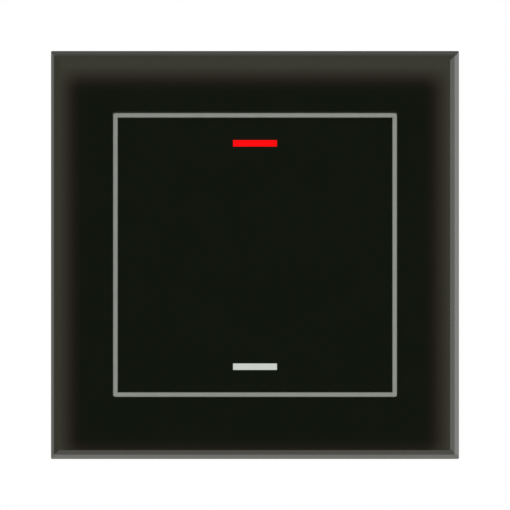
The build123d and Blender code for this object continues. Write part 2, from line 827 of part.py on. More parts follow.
with BuildPart() as power_board:
    with BuildSketch(at_depth(power_board_depth)):
        board_outline()
        with Locations(*all_leads):
            Rectangle(lead_width + hole_slack, lead_width + hole_slack, mode=Mode.SUBTRACT)
        with Locations(*relay_pins(-relay_offset), *relay_pins(relay_offset)):
            Rectangle(1.0, 1.0, mode=Mode.SUBTRACT)
        with Locations((0, bar_pin_z)):
            with GridLocations(terminal_pitch, 0, terminal_count, 1):
                Rectangle(1.6, 1.2, mode=Mode.SUBTRACT)
    extrude(amount=-power_board_thickness)
save(power_board.part, "power_board")

# Transformer: ferrite core with two windows, around a wound former on pins
core_size = (12.0, 10.4, 5.4)
core_leg = 3.0
core_yoke = 1.8
former_base = 1.6
core_middle = power_board_back + former_base + core_size[1] / 2
window_width = (core_size[0] - core_leg - 2 * core_yoke) / 2
window_x = core_leg / 2 + window_width / 2
with BuildPart() as transformer_core:
    with BuildSketch(Plane.XY.offset(transformer_at[1])):
        with Locations((transformer_at[0], core_middle)):
            Rectangle(core_size[0], core_size[1])
            with GridLocations(2 * window_x, 0, 2, 1):
                Rectangle(window_width, core_size[1] - 2 * core_yoke, mode=Mode.SUBTRACT)
    extrude(amount=core_size[2] / 2, both=True)
save(transformer_core.part, "transformer_core")

coil_width = core_leg + 2 * window_width - 0.4
coil_depth = core_size[1] - 2 * core_yoke - 0.3
coil_length = 9.4
with BuildPart() as transformer_coil:
    with BuildSketch(at_depth(core_middle - coil_depth / 2)):
        with Locations(transformer_at):
            RectangleRounded(coil_width, coil_length, 1.8)
            Rectangle(core_leg + 0.2, core_size[2] + 0.2, mode=Mode.SUBTRACT)
    extrude(amount=-coil_depth)
    with BuildSketch(at_depth(power_board_back)):
        with Locations(transformer_at):
            Rectangle(10.6, 8.6)
    extrude(amount=-former_base)
    with BuildSketch(at_depth(power_board_back + former_base)):
        with Locations(transformer_at):
            with GridLocations(0, coil_length - 1.2, 1, 2):
                Rectangle(6.0, 0.8)
    extrude(amount=-(core_yoke + 0.2))
    with BuildSketch(at_depth(power_board_back)):
        with Locations(*transformer_leads):
            Rectangle(lead_width, lead_width)
    extrude(amount=lead_length)
save(transformer_coil.part, "transformer_coil")


def can_capacitor(middle, diameter, height, lead_places):
    """Round aluminium capacitor with a rolled groove near its base and a scored top."""
    groove = 0.35
    with BuildPart() as can:
        with BuildSketch(at_depth(power_board_back)):
            with Locations(middle):
                Circle(diameter / 2)
        extrude(amount=-height)
        chamfer(can.faces().sort_by(Axis.Y)[-1].edges(), 0.5)
        with BuildSketch(at_depth(power_board_back + 1.6)):
            with Locations(middle):
                Circle(diameter / 2 + 0.1)
                Circle(diameter / 2 - groove, mode=Mode.SUBTRACT)
        extrude(amount=-0.7, mode=Mode.SUBTRACT)
        with BuildSketch(at_depth(power_board_back + height)):
            with Locations(middle):
                Rectangle(diameter * 0.7, 0.3)
                Rectangle(0.3, diameter * 0.7)
        extrude(amount=0.2, mode=Mode.SUBTRACT)
        with BuildSketch(at_depth(power_board_back)):
            with Locations(*lead_places):
                Rectangle(lead_width, lead_width)
        extrude(amount=lead_length)
    return can.part


save(
    Compound(
        children=[
            can_capacitor(large_capacitor_at, 8.0, 12.0, large_capacitor_leads),
            can_capacitor(small_capacitor_at, 6.3, 8.0, small_capacitor_leads),
        ]
    ),
    "reservoir_capacitors",
)

# Film capacitor: moulded box
with BuildPart() as film_capacitor:
    with BuildSketch(at_depth(power_board_back)):
        with Locations(film_capacitor_at):
            Rectangle(13.0, 6.0)
    extrude(amount=-12.0)
    fillet(film_capacitor.edges().filter_by(Axis.Y), 0.5)
    with BuildSketch(at_depth(power_board_back)):
        with Locations(*film_capacitor_leads):
            Rectangle(lead_width, lead_width)
    extrude(amount=lead_length)
save(film_capacitor.part, "film_capacitor")

# Varistor: dipped disc on edge
varistor_diameter = 9.0
with BuildPart() as varistor:
    with BuildSketch(Plane.XY.offset(varistor_at[1])):
        with Locations((varistor_at[0], power_board_back + 1.2 + varistor_diameter / 2)):
            Circle(varistor_diameter / 2)
    extrude(amount=2.0, both=True)
    chamfer(varistor.edges(), 1.1)
    with BuildSketch(at_depth(power_board_back + 4.0)):
        with Locations(*varistor_leads):
            Rectangle(lead_width, lead_width)
    extrude(amount=power_board_back + 4.0 - lead_foot)
save(varistor.part, "varistor")

# Fuse: radial, in a round moulded case
with BuildPart() as fuse:
    with BuildSketch(at_depth(power_board_back)):
        with Locations(fuse_at):
            Circle(4.2)
    extrude(amount=-8.0)
    chamfer(fuse.faces().sort_by(Axis.Y)[-1].edges(), 0.4)
    with BuildSketch(at_depth(power_board_back)):
        with Locations(*fuse_leads):
            Rectangle(lead_width, lead_width)
    extrude(amount=lead_length)
save(fuse.part, "fuse")

# Bridge rectifier: flat moulded block
with BuildPart() as bridge_rectifier:
    with BuildSketch(at_depth(power_board_back)):
        with Locations(rectifier_at):
            Rectangle(8.0, 6.4)
    extrude(amount=-3.2)
    chamfer(bridge_rectifier.faces().sort_by(Axis.Y)[-1].edges(), 0.4)
    with BuildSketch(at_depth(power_board_back)):
        with Locations(*rectifier_leads):
            Rectangle(lead_width, lead_width)
    extrude(amount=lead_length)
save(bridge_rectifier.part, "bridge_rectifier")

# Relays: a coil pulls a hinged armature, whose blade closes the contacts
relay_base_thickness = 1.6
relay_floor = power_board_back + relay_base_thickness
relay_case_wall = 0.6
relay_case_back = 23.4
frame_sheet = 1.2
frame_width = 7.0
coil_z = relay_line - 3.0
pole_face = 19.0
hinge_depth = 19.4
hinge_z = relay_line - 8.4
armature_depth = hinge_depth + 0.05
armature_back = armature_depth + frame_sheet
blade_thickness = 0.3
contact_z = relay_line + 7.0
contact_radius = 1.1


def relay(x, name):
    """Writes the separate pieces of one relay, standing on the power board at this X."""
    pin_slack = 0.1
    base_width = relay_width - 2 * relay_case_wall - 0.1
    base_length = relay_length - 2 * relay_case_wall - 0.1
    with BuildPart() as base:
        with BuildSketch(at_depth(power_board_back)):
            with Locations((x, relay_line)):
                Rectangle(base_width, base_length)
            with Locations(*relay_pins(x)):
                Rectangle(0.7 + pin_slack, 0.7 + pin_slack, mode=Mode.SUBTRACT)
        extrude(amount=-relay_base_thickness)
    save(base.part, f"{name}_base")

    # Frame: L of soft iron with the core riveted into its foot
    foot_end = relay_line + 1.0
    leg_out = relay_line - 9.0
    with BuildPart() as frame:
        with BuildSketch(across(x)):
            with BuildLine():
                Polyline(
                    (relay_floor, foot_end),
                    (relay_floor, leg_out),
                    (hinge_depth, leg_out),
                    (hinge_depth, leg_out + frame_sheet),
                    (relay_floor + frame_sheet, leg_out + frame_sheet),
                    (relay_floor + frame_sheet, foot_end),
                    close=True,
                )
            make_face()
        extrude(amount=frame_width / 2, both=True)
        with BuildSketch(at_depth(relay_floor + frame_sheet)):
            with Locations((x, coil_z)):
                Circle(1.5)
        extrude(amount=relay_floor + frame_sheet - pole_face)
        with BuildSketch(at_depth(pole_face)):
            with Locations((x, coil_z)):
                Circle(2.5)
        extrude(amount=0.8)
    save(frame.part, f"{name}_frame")

    # Coil: winding between two square cheeks
    coil_front = relay_floor + frame_sheet
    coil_back = pole_face - 0.8
    cheek = 0.8
    with BuildPart() as coil:
        with BuildSketch(at_depth(coil_front)):
            with Locations((x, coil_z)):
                Circle(3.5)
                Circle(1.55, mode=Mode.SUBTRACT)
        extrude(amount=coil_front - coil_back)
        for depth in (coil_front, coil_back - cheek):
            with BuildSketch(at_depth(depth)):
                with Locations((x, coil_z)):
                    Rectangle(7.6, 7.6)
                    Circle(1.55, mode=Mode.SUBTRACT)
            extrude(amount=-cheek)
    save(coil.part, f"{name}_coil")

    # Armature: iron flap with the contact blade riveted behind it
    flap_end = relay_line + 0.8
    with BuildPart() as armature:
        with BuildSketch(at_depth(armature_depth)):
            with Locations((x, (leg_out - 0.2 + flap_end) / 2)):
                Rectangle(frame_width, flap_end - leg_out + 0.2)
        extrude(amount=-frame_sheet)
        with BuildSketch(at_depth(armature_back)):
            with BuildLine():
                Polyline(
                    (x - 2.2, relay_line - 7.0),
                    (x + 2.2, relay_line - 7.0),
                    (x + 2.2, flap_end),
                    (x + 1.4, contact_z + 1.4),
                    (x - 1.4, contact_z + 1.4),
                    (x - 2.2, flap_end),
                    close=True,
                )
            make_face()
        extrude(amount=-blade_thickness)
        with BuildSketch(at_depth(armature_back)):
            with Locations((x, contact_z)):
                Circle(contact_radius)
        extrude(amount=0.7)
        with BuildSketch(at_depth(armature_back + blade_thickness)):
            with Locations((x, relay_line - 5.0), (x, relay_line - 2.0), (x, contact_z)):
                Circle(0.7)
        extrude(amount=-0.35)
    save(armature.part, f"{name}_armature")

    # Fixed contact on its strip, and the other pins
    strip = 0.4
    strip_back = 18.75
    strip_z = relay_line + 8.1
    pin_foot = power_board_depth - 0.8
    with BuildPart() as contacts:
        with BuildSketch(across(x)):
            with BuildLine():
                Polyline(
                    (pin_foot, strip_z + strip / 2),
                    (strip_back, strip_z + strip / 2),
                    (strip_back, contact_z - 1.3),
                    (strip_back - strip, contact_z - 1.3),
                    (strip_back - strip, strip_z - strip / 2),
                    (pin_foot, strip_z - strip / 2),
                    close=True,
                )
            make_face()
        extrude(amount=0.35, both=True)
        with BuildSketch(at_depth(strip_back)):
            with Locations((x, contact_z)):
                Circle(contact_radius)
        extrude(amount=-0.3)
        with BuildSketch(at_depth(pin_foot)):
            with Locations(*relay_pins(x)[1:]):
                Rectangle(0.7, 0.7)
        extrude(amount=pin_foot - relay_floor)
    save(contacts.part, f"{name}_contacts")

    with BuildPart() as case:
        with BuildSketch(at_depth(power_board_back + 0.2)):
            with Locations((x, relay_line)):
                Rectangle(relay_width, relay_length)
        extrude(amount=power_board_back + 0.2 - relay_case_back)
        fillet(case.edges().filter_by(Axis.Y), 0.5)
        with BuildSketch(at_depth(power_board_back + 0.2)):
            with Locations((x, relay_line)):
                Rectangle(relay_width - 2 * relay_case_wall, relay_length - 2 * relay_case_wall)
        extrude(amount=power_board_back + 0.2 - relay_case_back + relay_case_wall, mode=Mode.SUBTRACT)
    save(case.part, f"{name}_case")


relay(-relay_offset, "left_relay")
relay(relay_offset, "right_relay")

# Terminal block: a row of cells, each with a wire entry below and a screw behind
block_width = terminal_count * terminal_pitch - 0.1
block_z = (-housing_inner_height / 2 + 0.2, terminal_line + 6.0)
block_back = housing_floor - 0.2
cell_back = 19.4
head_seat = 20.7
shank_diameter = 3.0
head_diameter = 4.4
bar_depth = 14.0
bar_thickness = 0.8
bar_width = 3.4
with BuildPart() as terminal_block:
    with BuildSketch(at_depth(power_board_back)):
        with Locations((0, (block_z[0] + block_z[1]) / 2)):
            Rectangle(block_width, block_z[1] - block_z[0])
    extrude(amount=power_board_back - block_back)
    with BuildSketch(at_depth(power_board_back)):
        with Locations((0, terminal_line)):
            with GridLocations(terminal_pitch, 0, terminal_count, 1):
                Rectangle(cell_width, cell_length)
    extrude(amount=power_board_back - cell_back, mode=Mode.SUBTRACT)
    with BuildSketch(at_depth(cell_back)):
        with Locations((0, terminal_line)):
            with GridLocations(terminal_pitch, 0, terminal_count, 1):
                Circle(shank_diameter / 2 + 0.15)
    extrude(amount=cell_back - block_back, mode=Mode.SUBTRACT)
    with BuildSketch(at_depth(head_seat)):
        with Locations((0, terminal_line)):
            with GridLocations(terminal_pitch, 0, terminal_count, 1):
                Circle(head_diameter / 2 + 0.15)
    extrude(amount=head_seat - block_back, mode=Mode.SUBTRACT)
    # Funnel-shaped wire entries, and the slots that the bars come out of
    cell_wall = terminal_line - cell_length / 2
    funnel_end = block_z[0] + 1.2
    for x in terminal_x:
        for z, side in ((block_z[0], funnel - 0.4), (funnel_end, entry)):
            with BuildSketch(Plane.XY.offset(z)):
                with Locations((x, entry_depth)):
                    Rectangle(side, side)
        loft(ruled=True, mode=Mode.SUBTRACT)
    with BuildSketch(Plane.XY.offset(funnel_end)):
        with Locations((0, entry_depth)):
            with GridLocations(terminal_pitch, 0, terminal_count, 1):
                Rectangle(entry, entry)
    extrude(amount=cell_wall - funnel_end, mode=Mode.SUBTRACT)
    with BuildSketch(Plane.XY.offset(block_z[1])):
        with Locations((0, bar_depth + bar_thickness / 2)):
            with GridLocations(terminal_pitch, 0, terminal_count, 1):
                Rectangle(bar_width + 0.2, bar_thickness + 0.2)
    extrude(amount=-(block_z[1] - terminal_line), mode=Mode.SUBTRACT)
save(terminal_block.part, "terminal_block")

# Bars: the wire is clamped against each one, and its foot is soldered into the power board
with BuildPart() as terminal_bars:
    bar_end = terminal_line - cell_length / 2 + 0.2
    for x in terminal_x:
        with BuildSketch(across(x)):
            with BuildLine():
                Polyline(
                    (bar_depth, bar_end),
                    (bar_depth + bar_thickness, bar_end),
                    (bar_depth + bar_thickness, bar_pin_z + bar_thickness / 2),
                    (power_board_back, bar_pin_z + bar_thickness / 2),
                    (power_board_back, bar_pin_z - bar_thickness / 2),
                    (bar_depth, bar_pin_z - bar_thickness / 2),
                    close=True,
                )
            make_face()
        extrude(amount=bar_width / 2, both=True)
    with BuildSketch(at_depth(power_board_back)):
        with Locations((0, bar_pin_z)):
            with GridLocations(terminal_pitch, 0, terminal_count, 1):
                Rectangle(1.2, bar_thickness)
    extrude(amount=power_board_back - lead_foot)
save(terminal_bars.part, "terminal_bars")

# Cages: each rides on its screw and lifts the wire against the bar
cage_width = 5.6
cage_length = 5.4
cage_wall = 0.9
cage_front = 9.4
cage_window_back = 15.3
cage_back = 17.0
window_depth = cage_window_back - cage_front - cage_wall
for number, x in enumerate(terminal_x, 1):
    with BuildPart() as cage:
        with BuildSketch(Plane.XY.offset(terminal_line)):
            with Locations((x, (cage_front + cage_back) / 2)):
                RectangleRounded(cage_width, cage_back - cage_front, 0.5)
            with Locations((x, (cage_front + cage_wall + cage_window_back) / 2)):
                Rectangle(cage_width - 2 * cage_wall, window_depth, mode=Mode.SUBTRACT)
        extrude(amount=cage_length / 2, both=True)
        with BuildSketch(at_depth(cage_back)):
            with Locations((x, terminal_line)):
                Circle(shank_diameter / 2 + 0.05)
        extrude(amount=cage_back - cage_window_back, mode=Mode.SUBTRACT)
    save(cage.part, f"terminal_cage_{number}")
    save(
        slotted_screw(
            x,
            terminal_line,
            bar_depth + bar_thickness + 0.1,
            head_seat,
            shank_diameter,
            head_diameter,
            1.8,
            0.7,
        ),
        f"terminal_screw_{number}",
    )
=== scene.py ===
import json
import math

import bmesh
import bpy
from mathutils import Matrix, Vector


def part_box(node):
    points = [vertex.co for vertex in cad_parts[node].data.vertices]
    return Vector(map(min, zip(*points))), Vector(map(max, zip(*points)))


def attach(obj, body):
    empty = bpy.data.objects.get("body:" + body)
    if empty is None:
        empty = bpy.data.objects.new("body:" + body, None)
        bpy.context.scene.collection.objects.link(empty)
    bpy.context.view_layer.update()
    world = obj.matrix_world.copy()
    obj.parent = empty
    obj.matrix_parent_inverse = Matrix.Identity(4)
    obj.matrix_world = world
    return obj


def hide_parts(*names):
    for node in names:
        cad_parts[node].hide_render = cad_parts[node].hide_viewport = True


# Looks of the glass touch switch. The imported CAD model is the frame: X right, Z up, the room on -Y,
# the origin on the wall's surface. Sizes are in metres, unless a name or a comment says mm.

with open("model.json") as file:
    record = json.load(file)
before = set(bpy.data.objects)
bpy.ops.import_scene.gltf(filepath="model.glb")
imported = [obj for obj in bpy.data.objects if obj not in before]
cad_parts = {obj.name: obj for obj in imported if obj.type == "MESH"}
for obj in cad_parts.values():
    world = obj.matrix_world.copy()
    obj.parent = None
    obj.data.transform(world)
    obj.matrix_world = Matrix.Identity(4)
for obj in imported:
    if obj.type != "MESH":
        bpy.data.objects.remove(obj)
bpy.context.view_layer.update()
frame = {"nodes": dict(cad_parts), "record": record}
nodes = frame["nodes"]

MM = 0.001

# Square plate of the glass frame: half its width, the Y of its front, and how far its facets drop
plate_low, plate_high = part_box("glass_frame")
PLATE_HALF = plate_high.x
PLATE_FRONT = plate_low.y
FACET_DEPTH = 1.2 * MM

# Black glass, and the light that creeps in behind it from its polished edges, painted into its colour,
# more on some sides than others. Where little of that painted light reaches, it is browner than at the rim.
GLASS_BLACK = (0.0079, 0.0104, 0.0064)
GLASS_DUSK = (0.0171, 0.0145, 0.0101)
GLASS_GLOW = (0.0540, 0.0525, 0.0390)
DUSK_LEVEL = 0.2
EDGE_LIGHT_FALL = 1.6
# Axis, side, depth from the edge where the light is still full and where it ends in mm, amount
EDGE_LIGHT = (
    ("X", -1, 1.9, 6.7, 0.84),
    ("X", 1, 2.1, 7.4, 0.93),
    ("Z", 1, 3.2, 8.6, 1.05),
    ("Z", -1, 2.1, 4.7, 0.24),
)

# Polished facets, with painted reflections and highlights over their own reflections of the lamps: axis,
# side, tone of the inner facet, of the outer facet and of its rim
PAINTED_FACET_LIGHT = (
    ("X", -1, (0.046, 0.046, 0.031), (0.003, 0.003, 0.001), (0.108, 0.108, 0.088)),
    ("X", 1, (0.038, 0.038, 0.029), (0.047, 0.047, 0.040), (0.047, 0.047, 0.040)),
    ("Z", 1, (0.050, 0.050, 0.039), (0.026, 0.026, 0.024), (0.040, 0.040, 0.038)),
    ("Z", -1, (0.064, 0.064, 0.056), (0.172, 0.172, 0.158), (0.182, 0.182, 0.168)),
)
RIM_WIDTH = 0.55 * MM
RIM_BLUR = 0.1 * MM
WALL_TONE = (0.016, 0.022, 0.018)
# The Y of a face's normal, without its sign, is 1 on the front, 0.95 on the inner facet, 0.73 on the
# outer one and 0 on the walls. The limits here, from none to all, lie between these. The slope is the
# normal's X or Z, 0 on the front and 0.3 or more on a side's facets.
OUTER_FACET_FACING = (0.90, 0.80)
WALL_FACING = (0.40, 0.20)
FACET_SLOPE = (0.1, 0.2)

# The trim's broken edges, which get a painted shade, lie between its walls and its front, by the same
# measure
ARRIS_OFF_WALL = (0.40, 0.60)
ARRIS_OFF_FRONT = (0.95, 0.85)
ARRIS_PAINTED_SHADE = (0.15, 0.16, 0.14)

# The two lamps' windows in the ink behind the pane, and the diodes behind each of them
WINDOW_WIDTH = 9.25 * MM
WINDOW_HEIGHT = 1.36 * MM
WINDOW_Z = 23.52 * MM
WINDOW_BLUR = 0.05 * MM
RED_LIGHT = (1.0, 0.0045, 0.006)
WHITE_LIGHT = (0.525, 0.548, 0.512)
RED_WINDOW = (0.1, 0.0, 0.0)
WHITE_WINDOW = (0.1, 0.1, 0.1)
DIODE_X = 2.5 * MM
# Brightness in front of a diode and away from it, of the window and of the diffuser itself
WINDOW_LEVELS = (1.0, 0.97)
DIFFUSER_LEVELS = (0.12, 0.1)


# Building blocks of the materials

def new_material(name):
    """A material with one Principled shader: gives the material, its node tree and the shader."""
    mat = bpy.data.materials.new(name)
    mat.use_nodes = True
    tree = mat.node_tree
    tree.nodes.clear()
    out = tree.nodes.new("ShaderNodeOutputMaterial")
    shader = tree.nodes.new("ShaderNodeBsdfPrincipled")
    link(tree, shader.outputs[0], out.inputs[0])
    return mat, tree, shader


def link(tree, source, target):
    """Joins an output socket to an input socket."""
    tree.links.new(source, target)


def settle(node, values):
    """Sets a node's inputs by name."""
    for name, value in values.items():
        node.inputs[name].default_value = value


def coordinates(tree, scale=(1.0, 1.0, 1.0)):
    """Object coordinates, stretched per axis."""
    coord = tree.nodes.new("ShaderNodeTexCoord")
    mapping = tree.nodes.new("ShaderNodeMapping")
    settle(mapping, {"Scale": scale})
    link(tree, coord.outputs["Object"], mapping.inputs["Vector"])
    return mapping.outputs["Vector"]


def place(tree):
    """The object coordinates as three sockets, by the axis name."""
    coord = tree.nodes.new("ShaderNodeTexCoord")
    split = tree.nodes.new("ShaderNodeSeparateXYZ")
    link(tree, coord.outputs["Object"], split.inputs[0])
    return split.outputs


def face_normal(tree):
    """The true normal of each face as three sockets, by the axis name."""
    geometry = tree.nodes.new("ShaderNodeNewGeometry")
    split = tree.nodes.new("ShaderNodeSeparateXYZ")
    link(tree, geometry.outputs["True Normal"], split.inputs[0])
    return split.outputs


def facing(tree):
    """The Y of each face's true normal, without its sign: 1 on a front or a back, 0 on the walls."""
    return maths(tree, "ABSOLUTE", face_normal(tree)["Y"])


def noise(tree, size_mm, detail=3.0, stretch=(1.0, 1.0, 1.0)):
    """Noise whose blotches are about size_mm across."""
    tex = tree.nodes.new("ShaderNodeTexNoise")
    settle(tex, {"Scale": 1.0 / (size_mm * MM), "Detail": detail})
    link(tree, coordinates(tree, stretch), tex.inputs["Vector"])
    return tex.outputs["Fac"]


def mix(tree, factor, low, high):
    """Mix of two colours, each a tuple or a socket."""
    node = tree.nodes.new("ShaderNodeMix")
    node.data_type = "RGBA"
    link(tree, factor, node.inputs["Factor"])
    for value, name in ((low, "A"), (high, "B")):
        socket = [s for s in node.inputs if s.name == name and s.type == "RGBA"][0]
        if isinstance(value, tuple):
            socket.default_value = (*value, 1.0)
        else:
            link(tree, value, socket)
    return [s for s in node.outputs if s.type == "RGBA"][0]


def ramp(tree, source, low, high, start=0.3, end=0.7):
    """Maps start..end of a socket to low..high, two numbers or two colours, and stays level beyond."""
    node = tree.nodes.new("ShaderNodeMapRange")
    settle(node, {"From Min": start, "From Max": end})
    link(tree, source, node.inputs["Value"])
    if isinstance(low, tuple):
        return mix(tree, node.outputs["Result"], low, high)
    settle(node, {"To Min": low, "To Max": high})
    return node.outputs["Result"]


def step(tree, source, start, end):
    """How far a socket is from start, 0, to end, 1."""
    return ramp(tree, source, 0.0, 1.0, start, end)


def maths(tree, operation, first, second=None, clamp=False):
    """One Math node over sockets or numbers."""
    node = tree.nodes.new("ShaderNodeMath")
    node.operation = operation
    node.use_clamp = clamp
    for value, socket in zip((first, second), node.inputs):
        if value is None:
            continue
        if isinstance(value, (int, float)):
            socket.default_value = value
        else:
            link(tree, value, socket)
    return node.outputs[0]


def bump(tree, shader, height, depth_mm, strength=0.5, round_mm=0.0):
    """Bump of a real depth, over edges rounded by round_mm."""
    node = tree.nodes.new("ShaderNodeBump")
    settle(node, {"Distance": depth_mm * MM, "Strength": strength})
    link(tree, height, node.inputs["Height"])
    if round_mm:
        edge = tree.nodes.new("ShaderNodeBevel")
        edge.samples = 4
        settle(edge, {"Radius": round_mm * MM})
        link(tree, edge.outputs[0], node.inputs["Normal"])
    link(tree, node.outputs[0], shader.inputs["Normal"])


def lift(colour, factor):
    """The colour made lighter or darker by a factor."""
    return tuple(min(1.0, c * factor) for c in colour)


def uneven(tree, shader, colour, spread, size_mm, detail):
    """Base colour in faint clouds, lighter and darker by the spread."""
    cloud = noise(tree, size_mm, detail)
    tone = ramp(tree, cloud, lift(colour, 1 - spread), lift(colour, 1 + spread))
    link(tree, tone, shader.inputs["Base Color"])


# Materials

def plastic(name, colour, rough, grain_mm=0.35, depth_mm=0.012, round_mm=0.0, spread=0.08):
    """Moulded plastic: fine spark-eroded grain, with faint cloudy variation of colour and sheen."""
    mat, tree, shader = new_material(name)
    uneven(tree, shader, colour, spread, size_mm=9.0, detail=4.0)
    sheen = noise(tree, size_mm=3.0)
    link(tree, ramp(tree, sheen, rough - 0.05, rough + 0.05), shader.inputs["Roughness"])
    grain = noise(tree, grain_mm, detail=2.0)
    bump(tree, shader, grain, depth_mm, round_mm=round_mm)
    return mat


def metal(name, colour, rough, scratch_mm, stretch=(1.0, 1.0, 1.0), round_mm=0.0, spread=0.1):
    """Bare or plated metal: drawn or rolled marks, and a slightly uneven tone."""
    mat, tree, shader = new_material(name)
    settle(shader, {"Metallic": 1.0})
    uneven(tree, shader, colour, spread, size_mm=6.0, detail=5.0)
    marks = noise(tree, scratch_mm, detail=4.0, stretch=stretch)
    link(tree, ramp(tree, marks, rough - 0.08, rough + 0.1), shader.inputs["Roughness"])
    bump(tree, shader, marks, depth_mm=0.006, strength=0.4, round_mm=round_mm)
    return mat


def from_edge(tree, axes, axis, side):
    """Depth into the plate from its edge on one side."""
    return maths(tree, "SUBTRACT", PLATE_HALF, maths(tree, "MULTIPLY", axes[axis], float(side)))


def edge_light(tree, axes):
    """How much of the painted edge light reaches each place behind the glass: full at the rim, none inside.
    """
    dark = None
    for axis, side, full_mm, end_mm, amount in EDGE_LIGHT:
        depth = from_edge(tree, axes, axis, side)
        level = maths(tree, "POWER", step(tree, depth, end_mm * MM, full_mm * MM), EDGE_LIGHT_FALL)
        rest = maths(tree, "SUBTRACT", 1.0, maths(tree, "MULTIPLY", level, amount), clamp=True)
        dark = rest if dark is None else maths(tree, "MULTIPLY", dark, rest)
    return maths(tree, "SUBTRACT", 1.0, dark)


def black_glass(name):
    """Polished glass over black ink: gives the material, its tree, its shader and the black tone."""
    mat, tree, shader = new_material(name)
    settle(shader, {"IOR": 1.5})
    black = ramp(tree, noise(tree, size_mm=12.0), lift(GLASS_BLACK, 0.96), lift(GLASS_BLACK, 1.04))
    smears = noise(tree, size_mm=14.0, detail=5.0)
    link(tree, ramp(tree, smears, 0.015, 0.04, start=0.45, end=0.75), shader.inputs["Roughness"])
    return mat, tree, shader, black


def frame_glass():
    """The outer glass: light from its edges is painted in behind it, and its facets get a painted reflection
    tone for each side.
    """
    mat, tree, shader, black = black_glass("frame_glass")
    axes = place(tree)
    # The edge light is painted into the base colour
    glow = edge_light(tree, axes)
    dusk = mix(tree, step(tree, glow, 0.0, DUSK_LEVEL), black, GLASS_DUSK)
    tone = mix(tree, step(tree, glow, DUSK_LEVEL, 1.0), dusk, GLASS_GLOW)
    normal = face_normal(tree)
    front = facing(tree)
    outer = step(tree, front, *OUTER_FACET_FACING)
    wall = step(tree, front, *WALL_FACING)
    # Painted reflections on each side's facets, and on the rim of the outer facet
    for axis, side, inner_tone, outer_tone, rim_tone in PAINTED_FACET_LIGHT:
        slope = step(tree, maths(tree, "MULTIPLY", normal[axis], float(side)), *FACET_SLOPE)
        rim = step(tree, from_edge(tree, axes, axis, side), RIM_WIDTH + RIM_BLUR, RIM_WIDTH)
        facet = mix(tree, outer, inner_tone, mix(tree, rim, outer_tone, rim_tone))
        tone = mix(tree, slope, tone, facet)
    link(tree, mix(tree, wall, tone, WALL_TONE), shader.inputs["Base Color"])
    return mat


def inside(tree, distance, half_width):
    """1 where a distance is under half_width and 0 past it, with the blur of a printed edge."""
    return step(tree, distance, half_width + WINDOW_BLUR / 2, half_width - WINDOW_BLUR / 2)


def lamp_level(tree, side, levels):
    """Brightness along a lamp: the first level in front of its diodes, the second away from them."""
    away = maths(tree, "ABSOLUTE", maths(tree, "SUBTRACT", side, DIODE_X))
    return ramp(tree, away, *levels, 0.0, DIODE_X)


def pane_glass():
    """The touch pane: black behind, with the two lamps' windows in the ink painted on its colour, and the
    lamps' light painted on as its own glow.
    """
    mat, tree, shader, black = black_glass("pane_glass")
    axes = place(tree)
    side = maths(tree, "ABSOLUTE", axes["X"])
    height = maths(tree, "SUBTRACT", maths(tree, "ABSOLUTE", axes["Z"]), WINDOW_Z)
    across = inside(tree, side, WINDOW_WIDTH / 2)
    along = inside(tree, maths(tree, "ABSOLUTE", height), WINDOW_HEIGHT / 2)
    window = maths(tree, "MULTIPLY", across, along)
    upper = maths(tree, "GREATER_THAN", axes["Z"], 0.0)
    tone = mix(tree, window, black, mix(tree, upper, WHITE_WINDOW, RED_WINDOW))
    link(tree, tone, shader.inputs["Base Color"])
    # Painted lamp light: the pane glows in its windows in place of the lit diffusers behind it
    link(tree, mix(tree, upper, WHITE_LIGHT, RED_LIGHT), shader.inputs["Emission Color"])
    level = lamp_level(tree, side, WINDOW_LEVELS)
    link(tree, maths(tree, "MULTIPLY", window, level), shader.inputs["Emission Strength"])
    return mat


def ink(name):
    """Black screen-printed ink."""
    mat, tree, shader = new_material(name)
    mottle = noise(tree, size_mm=0.25, detail=2.0)
    tone = ramp(tree, mottle, (0.007, 0.008, 0.007), (0.011, 0.012, 0.011))
    link(tree, tone, shader.inputs["Base Color"])
    settle(shader, {"Roughness": 0.6})
    return mat


def lamp_lens(name, colour, light):
    """Moulded diffuser with light behind it, a little brighter in front of its two diodes."""
    mat, tree, shader = new_material(name)
    link(tree, ramp(tree, noise(tree, size_mm=1.5), lift(colour, 0.95), colour), shader.inputs["Base Color"])
    settle(shader, {"Emission Color": (*light, 1.0), "Roughness": 0.4})
    side = maths(tree, "ABSOLUTE", place(tree)["X"])
    link(tree, lamp_level(tree, side, DIFFUSER_LEVELS), shader.inputs["Emission Strength"])
    return mat


def satin_trim(name):
    """Satin lacquered metal with very fine brushing, with painted shade on its broken edges."""
    mat, tree, shader = new_material(name)
    tone = ramp(tree, noise(tree, size_mm=5.0, detail=4.0), (0.330, 0.349, 0.310), (0.354, 0.374, 0.335))
    front = facing(tree)
    # Painted shade on the broken edges
    arris = maths(tree, "MULTIPLY", step(tree, front, *ARRIS_OFF_WALL), step(tree, front, *ARRIS_OFF_FRONT))
    link(tree, mix(tree, arris, tone, ARRIS_PAINTED_SHADE), shader.inputs["Base Color"])
    settle(shader, {"Metallic": 0.25})
    brushing = noise(tree, size_mm=0.12)
    link(tree, ramp(tree, brushing, 0.42, 0.56), shader.inputs["Roughness"])
    bump(tree, shader, brushing, depth_mm=0.004, strength=0.3)
    return mat


def clear_acrylic(name):
    """Clear acrylic with a faintly frosted face."""
    mat, tree, shader = new_material(name)
    tint = ramp(tree, noise(tree, size_mm=4.0), (0.90, 0.92, 0.93), (0.96, 0.97, 0.97))
    link(tree, tint, shader.inputs["Base Color"])
    settle(shader, {"Transmission Weight": 1.0, "IOR": 1.49})
    link(tree, ramp(tree, noise(tree, size_mm=0.8), 0.12, 0.28), shader.inputs["Roughness"])
    return mat


